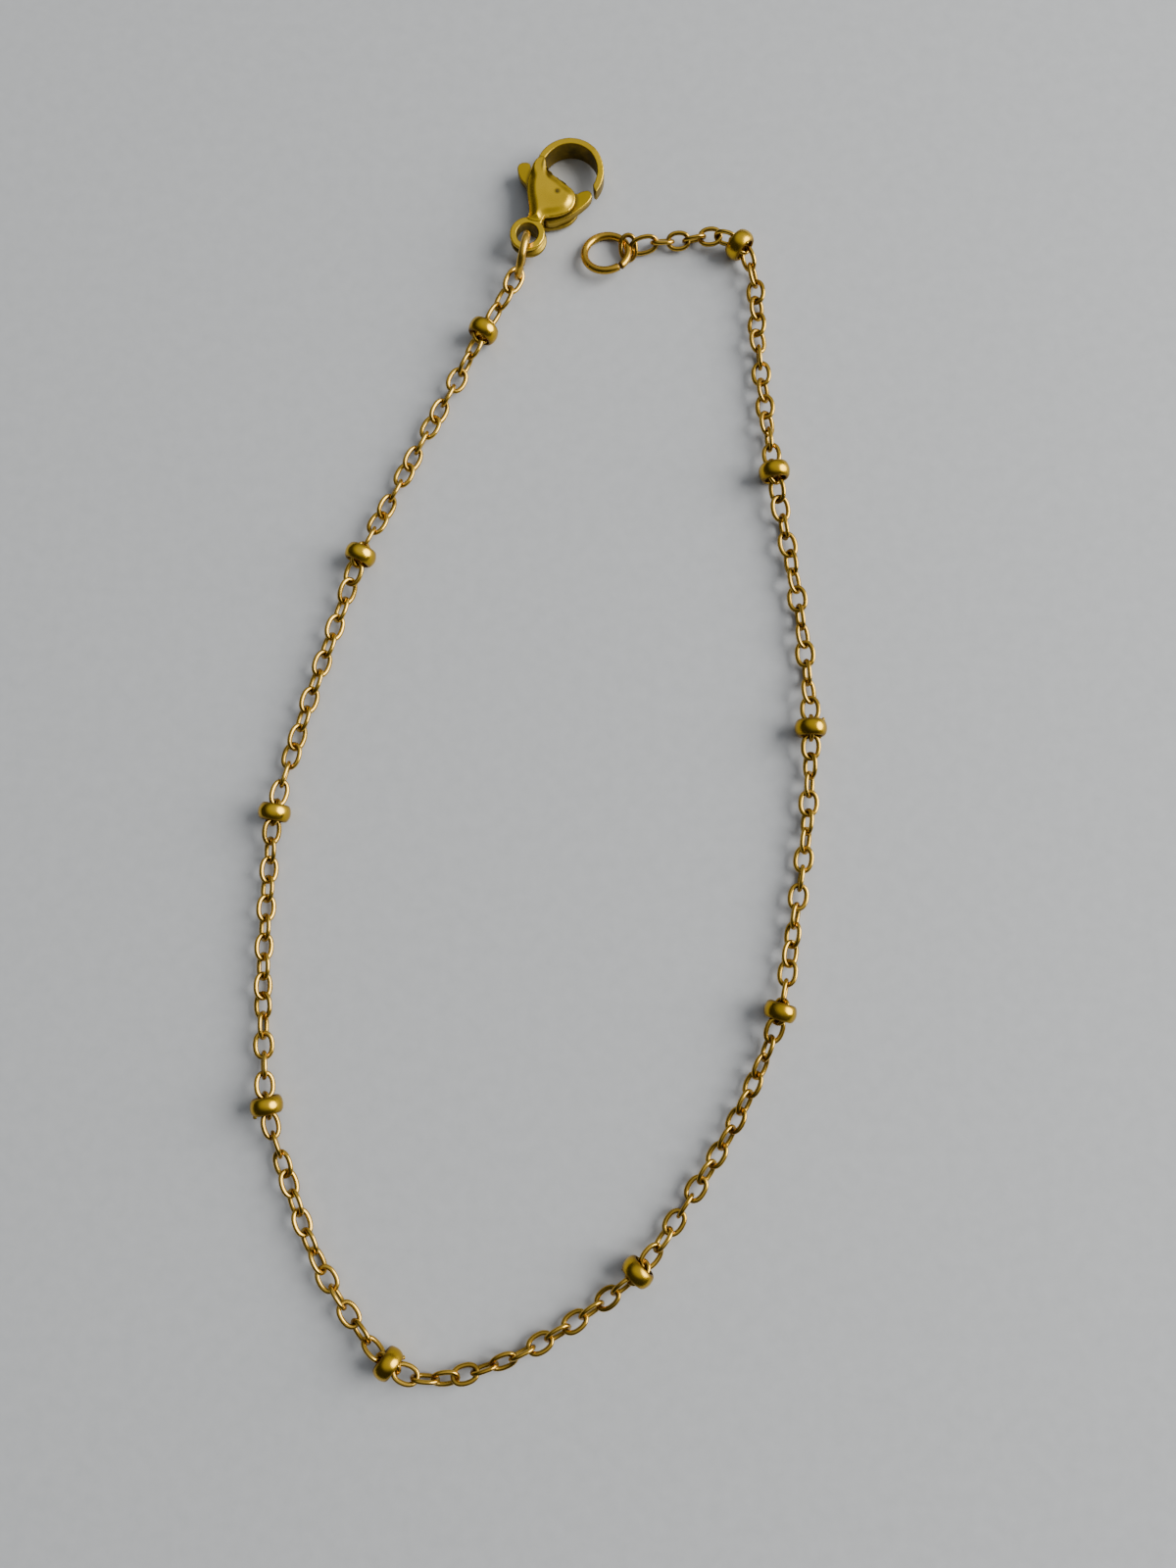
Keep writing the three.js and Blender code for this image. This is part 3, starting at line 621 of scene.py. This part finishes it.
def bead_geometry(number, centre, a, u, v):
    """A bead's shell with faint dents, and its burrs."""
    dice = random.Random(number * 31)
    offset = Vector((dice.uniform(0, 50), dice.uniform(0, 50), dice.uniform(0, 50)))
    verts, painted_shade = [], []
    profile = bead_profile()
    for side in range(BEAD_SIDES):
        angle = 2 * math.pi * side / BEAD_SIDES
        out = u * math.cos(angle) + v * math.sin(angle)
        for radius, reach in profile:
            spot = out * radius + a * reach
            dent = noise.noise(spot * 0.9 + offset) * 0.03 + noise.noise(spot * 3 + offset) * 0.006
            outside = smoothstep(radius, BORE_RADIUS + 0.08, BEAD_RADIUS)
            verts.append(centre + spot + out * ((dent - DENT_SINK) * outside))
            at_rim = smoothstep(abs(reach), 0.6, 0.75)
            # painted shade in the bore, a little less towards the rims
            painted_shade.append(max(1 - outside - 0.25 * at_rim, 0.15 * (1 - outside)))
    faces = tube_faces(BEAD_SIDES, len(profile), closed=True)
    for which, turn, end, size in BURRS:
        if which != number:
            continue
        out = u * math.cos(rad(turn)) + v * math.sin(rad(turn))
        spot = centre + out * (BORE_RADIUS + 0.1) + a * (end * (BEAD_LENGTH / 2 - BEAD_RIM))
        ball = bmesh.new()
        bmesh.ops.create_icosphere(ball, subdivisions=3, radius=size)
        base = len(verts)
        for vert in ball.verts:
            swell = 1 + 0.35 * noise.noise(vert.co * 9 + offset)
            verts.append(spot + vert.co * swell)
            # a little painted shade on each burr
            painted_shade.append(0.3)
        faces += [tuple(base + q.index for q in face.verts) for face in ball.faces]
        ball.free()
    return verts, faces, painted_shade


for number, link in enumerate(bead_links, 1):
    start, end = joints[link], joints[link + 1]
    geometry = bead_geometry(number, (start + end) / 2, *link_axes(start, end, 0))
    add_piece(f"bead_{number}_shell", geometry, bead_gold, "anklet", f"bead_{number}")


# Lobster clasp

clasp_place = Matrix.Translation(CLASP_EYE) @ Matrix.Rotation(rad(CLASP_TURN), 4, "Z")


def smooth_outline(shares, steps=5):
    """A closed Catmull-Rom curve through an outline's points, in millimetres."""
    points = [Vector((x * HOOK_RADIUS, y * EYE_TO_HOOK)) for x, y in shares]
    count = len(points)
    curve = []
    for i in range(count):
        p0, p1, p2, p3 = (points[(i + k - 1) % count] for k in range(4))
        for k in range(steps):
            t = k / steps
            curve.append(0.5 * (2 * p1 + (p2 - p0) * t + (2 * p0 - 5 * p1 + 4 * p2 - p3) * t**2
                                + (3 * p1 - p0 - 3 * p2 + p3) * t**3))
    return curve


def work_object(bm):
    mesh = bpy.data.meshes.new("work")
    bmesh.ops.recalc_face_normals(bm, faces=bm.faces)
    bm.to_mesh(mesh)
    bm.free()
    obj = bpy.data.objects.new("work", mesh)
    bpy.context.scene.collection.objects.link(obj)
    return obj


def prism(outline, low, high):
    bm = bmesh.new()
    face = bm.faces.new([bm.verts.new((p[0], p[1], low)) for p in outline])
    top = bmesh.ops.extrude_face_region(bm, geom=[face])["geom"]
    top = [item for item in top if isinstance(item, bmesh.types.BMVert)]
    bmesh.ops.translate(bm, vec=(0, 0, high - low), verts=top)
    return work_object(bm)


def cylinder(centre, radius, low, high, sides=48):
    turns = [2 * math.pi * k / sides for k in range(sides)]
    circle = [(centre[0] + radius * math.cos(t), centre[1] + radius * math.sin(t)) for t in turns]
    return prism(circle, low, high)


def arc_band(centre, inner, outer, start, end, steps=72):
    angles = [rad(start + (end - start) * k / steps) for k in range(steps + 1)]
    ring = [(centre[0] + outer * math.cos(t), centre[1] + outer * math.sin(t)) for t in angles]
    ring += [(centre[0] + inner * math.cos(t), centre[1] + inner * math.sin(t)) for t in reversed(angles)]
    return ring


def apply_modifiers(obj):
    mesh = bpy.data.meshes.new_from_object(obj.evaluated_get(bpy.context.evaluated_depsgraph_get()))
    obj.modifiers.clear()
    obj.data = mesh


def combine(obj, other, operation):
    modifier = obj.modifiers.new("join", "BOOLEAN")
    modifier.operation = operation
    modifier.object = other
    modifier.solver = "EXACT"
    apply_modifiers(obj)
    bpy.data.objects.remove(other)


def soften(obj, voxel, passes):
    """Cast and tumbled: one skin of even faces, with its edges rounded off."""
    remesh = obj.modifiers.new("skin", "REMESH")
    remesh.mode = "VOXEL"
    remesh.voxel_size = voxel
    remesh.adaptivity = 0
    smooth = obj.modifiers.new("tumble", "SMOOTH")
    smooth.factor = 0.5
    smooth.iterations = passes
    apply_modifiers(obj)


def finish_clasp_piece(obj, name, material, body, node, painted_shade_of):
    verts = [v.co.copy() for v in obj.data.vertices]
    faces = [tuple(p.vertices) for p in obj.data.polygons]
    bpy.data.objects.remove(obj)
    geometry = verts, faces, [painted_shade_of(v) for v in verts]
    add_piece(name, geometry, material, body, node, clasp_place)


# Body: two plates with the lever's slot between them, neck and eye
plate_curve = smooth_outline(PLATE_OUTLINE)
clasp = prism(plate_curve, 0, CLASP_THICKNESS)
combine(clasp, prism(smooth_outline(NECK_OUTLINE, 1), HOOK_INSET, HOOK_TOP), "UNION")
combine(clasp, cylinder((0, 0), EYE_RADIUS, HOOK_TOP - EYE_THICKNESS, HOOK_TOP), "UNION")

# Hook, thinner towards its outer side and cut back to let the gate's tip swing clear
band = arc_band(HOOK_CENTRE, HOOK_RADIUS - HOOK_BAND, HOOK_RADIUS, HOOK_END_ANGLE, HOOK_ROOT_ANGLE)
hook = prism(band, HOOK_INSET, HOOK_TOP)
hook_side = [(-2, HOOK_INSET), (0.2, HOOK_INSET), (1, HOOK_INSET + HOOK_TAPER), (1, HOOK_TOP - HOOK_TAPER),
             (0.2, HOOK_TOP), (-2, HOOK_TOP)]
taper = prism([(x * HOOK_RADIUS, z) for x, z in hook_side], -2 * HOOK_RADIUS, 2 * HOOK_RADIUS)
taper.data.transform(Matrix.Translation((0, HOOK_CENTRE.y, 0)) @ Matrix.Rotation(rad(90), 4, "X"))
combine(hook, taper, "INTERSECT")
swept = (LEVER_TIP - PIVOT).length + LEVER_CLEARANCE
swing = [PIVOT + swept * Vector((math.cos(rad(t)), math.sin(rad(t)))) for t in range(-10, 76, 5)]
combine(hook, prism([PIVOT, *swing], -1, CLASP_THICKNESS + 1), "DIFFERENCE")
combine(clasp, hook, "UNION")

# Slot and the eye's hole
slot_half = LEVER_THICKNESS / 2 + LEVER_CLEARANCE
slot_box = prism([SLOT_LOW, (SLOT_HIGH.x, SLOT_LOW.y), SLOT_HIGH, (SLOT_LOW.x, SLOT_HIGH.y)],
                 CLASP_THICKNESS / 2 - slot_half, CLASP_THICKNESS / 2 + slot_half)
combine(clasp, slot_box, "DIFFERENCE")
combine(clasp, cylinder((0, 0), EYE_HOLE_RADIUS, -1, CLASP_THICKNESS + 1), "DIFFERENCE")
soften(clasp, voxel=0.055, passes=7)


def edge_distance(points, outline):
    """How far inside a closed outline each point lies, and 0 outside it."""
    a = np.array([tuple(p) for p in outline])
    b = np.roll(a, -1, axis=0)
    nearest = np.full(len(points), 1e9)
    crossings = np.zeros(len(points), int)
    for p, q in zip(a, b):
        t = np.clip(((points - p) @ (q - p)) / ((q - p) @ (q - p)), 0, 1)
        nearest = np.minimum(nearest, np.linalg.norm(points - (p + t[:, None] * (q - p)), axis=1))
        spans = (p[1] > points[:, 1]) != (q[1] > points[:, 1])
        step = q[1] - p[1] if abs(q[1] - p[1]) > 1e-12 else 1e-12
        crossings += spans & (points[:, 0] < p[0] + (points[:, 1] - p[1]) * (q[0] - p[0]) / step)
    return np.where(crossings % 2 == 1, nearest, 0)


def eye_groove(v):
    """How deep a point of the eye's outer wall lies in the groove that runs round it."""
    reach = v.xy.length
    outside = smoothstep(reach, EYE_RADIUS - 0.3, EYE_RADIUS - 0.08) * (reach < EYE_RADIUS + 0.1)
    across = abs(v.z - (HOOK_TOP - GROOVE_BELOW_TOP))
    return outside * (1 - smoothstep(across, 0.1, 0.26)) * (1 - smoothstep(v.y, 0.5, 0.9))


def lower_rim(v):
    """Where the eye's lower rim stands out past the upper one."""
    reach = v.xy.length
    outside = smoothstep(reach, EYE_RADIUS - 0.35, EYE_RADIUS - 0.15) * (reach < EYE_RADIUS + 0.1)
    side = smoothstep(v.xy.dot(LOWER_RIM) / max(1e-6, reach * LOWER_RIM.length), 0.1, 0.6)
    return outside * side * smoothstep(HOOK_TOP - 0.6 - v.z, 0, 0.12)


def back_edge(v, depth):
    """Where the back plate's edge stands out past the lever."""
    edge = smoothstep(PLATE_THICKNESS + 0.1 - v.z, 0, 0.1) * (1 - smoothstep(depth, 0, 0.4))
    along_plate = smoothstep(v.y, 1.3, 1.9) * (1 - smoothstep(v.y, 4.3, 4.9))
    return edge * smoothstep(v.x, 0.1, 0.6) * along_plate


# The plates' faces fall away towards the edge, but not where the hook grows out of them
points = np.array([tuple(v.co) for v in clasp.data.vertices])
inside = edge_distance(points[:, :2], plate_curve)
for vert, depth in zip(clasp.data.vertices, inside):
    from_hook = abs((vert.co.xy - HOOK_CENTRE).length - (HOOK_RADIUS - HOOK_BAND / 2)) - HOOK_BAND / 2
    at_root = smoothstep(-vert.co.x, 0.4, 1.2) * smoothstep(vert.co.y, 4.3, 5.1)
    free = 1 - at_root * (1 - smoothstep(from_hook, 0, 0.5))
    outer_half = smoothstep(abs(vert.co.z - CLASP_THICKNESS / 2), slot_half + 0.1, CLASP_THICKNESS / 2)
    drop = DOME_DROP * (1 - smoothstep(depth, 0, DOME_REACH)) * free * outer_half
    rivet_dent = RIVET_DENT * (1 - smoothstep((vert.co.xy - PIVOT).length, 0.22, 1.0)) * outer_half
    if depth > 0:
        vert.co.z -= math.copysign(drop + rivet_dent, vert.co.z - CLASP_THICKNESS / 2)
    vert.co.xy *= 1 - GROOVE_DEPTH * eye_groove(vert.co)
    vert.co.xy += LOWER_RIM * lower_rim(vert.co)
    vert.co.xy += (vert.co.xy - PIVOT).normalized() * BACK_EDGE * back_edge(vert.co, depth)


def body_painted_shade(v):
    """Painted shade inside the hook, in the slot, in the eye and its groove, low on the walls and at the
    rivet.
    """
    hook_wall = smoothstep(HOOK_RADIUS - HOOK_BAND + 0.12 - (v.xy - HOOK_CENTRE).length, 0, 0.1)
    hook_wall *= smoothstep(v.y, 5.0, 5.6)
    in_slot = 1 - smoothstep(abs(v.z - CLASP_THICKNESS / 2), slot_half + 0.02, slot_half + 0.28)
    eye_wall = 0.9 * smoothstep(EYE_HOLE_RADIUS + 0.1 - v.xy.length, 0, 0.08)
    low = 0.7 * (1 - smoothstep(v.z, 0.1, 0.9))
    outer_walls = 0.85 * smoothstep(HOOK_TOP - 0.15 - v.z, 0, 0.45)
    spot = 0.8 * (1 - smoothstep((v.xy - PIVOT).length, 0.12, 0.36))
    return min(1, max(hook_wall, in_slot, eye_wall, low, outer_walls, spot, eye_groove(v)))


finish_clasp_piece(clasp, "clasp_body_cast", clasp_gold, "anklet", "clasp_body", body_painted_shade)

lever_low = PLATE_THICKNESS + LEVER_CLEARANCE
lever = prism(smooth_outline(LEVER_OUTLINE), lever_low, lever_low + LEVER_THICKNESS - LEVER_SUNK)
soften(lever, voxel=0.05, passes=4)


def lever_painted_shade(v):
    """Painted shade low on the gate and where it goes in between the plates."""
    near_plate = min((v.xy - p).length for p in plate_curve)
    crevice = (1 - smoothstep(near_plate, 0.05, 0.4)) * smoothstep(v.z, lever_low + 0.35, lever_low + 0.75)
    low = 0.8 * (1 - smoothstep(v.z, lever_low + 0.1, lever_low + 0.7))
    return max(crevice, low)


finish_clasp_piece(lever, "clasp_lever_gate", lever_gold_shaded, "lever", "clasp_lever", lever_painted_shade)

rivet = cylinder(PIVOT, RIVET_RADIUS, RIVET_INSET, CLASP_THICKNESS - RIVET_INSET, 40)
soften(rivet, voxel=0.03, passes=2)
# the rivet pin, sunk in its dent, gets the painted shade in full
finish_clasp_piece(rivet, "clasp_rivet_pin", clasp_gold, "anklet", "clasp_rivet", lambda v: 1)


# Floor, light, camera

def floor_material():
    n = Nodes("floor_pale")
    colour = n.ramp(n.noise(FLOOR_SCALE, 5), [(0.3, FLOOR_DARK), (0.7, FLOOR_PALE)])
    n.join(colour, n.shader.inputs["Base Color"])
    n.shader.inputs["Roughness"].default_value = 0.75
    return n.material


floor_mesh = bpy.data.meshes.new("floor")
floor_mesh.from_pydata([(-1, -1, 0), (1, -1, 0), (1, 1, 0), (-1, 1, 0)], [], [(0, 1, 2, 3)])
floor = bpy.data.objects.new("floor", floor_mesh)
bpy.context.scene.collection.objects.link(floor)
floor_mesh.materials.append(floor_material())


def area_light(name, place, target, size, power, colour):
    data = bpy.data.lights.new(name, "AREA")
    data.shape = "DISK"
    data.size = size
    data.energy = power
    data.color = colour
    lamp = bpy.data.objects.new(name, data)
    lamp.location = place
    lamp.rotation_euler = (Vector(target) - Vector(place)).to_track_quat("-Z", "Y").to_euler()
    bpy.context.scene.collection.objects.link(lamp)


area_light("window", place=(0.74, 0.12, 0.42), target=(0, 0, 0), size=0.8, power=17,
           colour=(1.0, 0.985, 0.96))

# The room: bright ceiling towards the window, dark walls near the floor
world = bpy.data.worlds.new("room")
world.use_nodes = True
sky = world.node_tree
toward = sky.nodes.new("ShaderNodeVectorMath")
toward.operation = "DOT_PRODUCT"
toward.inputs[1].default_value = SKY_BRIGHT
sky.links.new(sky.nodes.new("ShaderNodeTexCoord").outputs["Generated"], toward.inputs[0])
glow = sky.nodes.new("ShaderNodeMapRange")
glow.interpolation_type = "SMOOTHSTEP"
for socket, number in SKY_RANGE.items():
    glow.inputs[socket].default_value = number
sky.links.new(toward.outputs["Value"], glow.inputs["Value"])
sky.nodes["Background"].inputs["Color"].default_value = SKY_COLOUR
sky.links.new(glow.outputs["Result"], sky.nodes["Background"].inputs["Strength"])
bpy.context.scene.world = world

camera_data = bpy.data.cameras.new("camera")
camera_data.sensor_width = SENSOR
camera_data.lens = SENSOR * FOCAL_PX / PHOTO_PX[1]
camera_data.clip_start = 0.001
camera = bpy.data.objects.new("camera", camera_data)
nadir = [(pixel - size / 2) / FOCAL_PX for pixel, size in zip(NADIR_PX, PHOTO_PX)]
down = np.array([*nadir, 1.0])
down /= np.linalg.norm(down)
east = np.array([1.0, 0, 0]) - down * down[0]
east /= np.linalg.norm(east)
north = -np.cross(down, east)
axes = np.array([east, north, -down]) @ np.diag([1, -1, -1])
camera_place = Vector((SHIFT.x, SHIFT.y, CAMERA_HEIGHT)) * MM
camera.matrix_world = Matrix.Translation(camera_place) @ Matrix(axes).to_4x4()
bpy.context.scene.collection.objects.link(camera)
bpy.context.scene.camera = camera
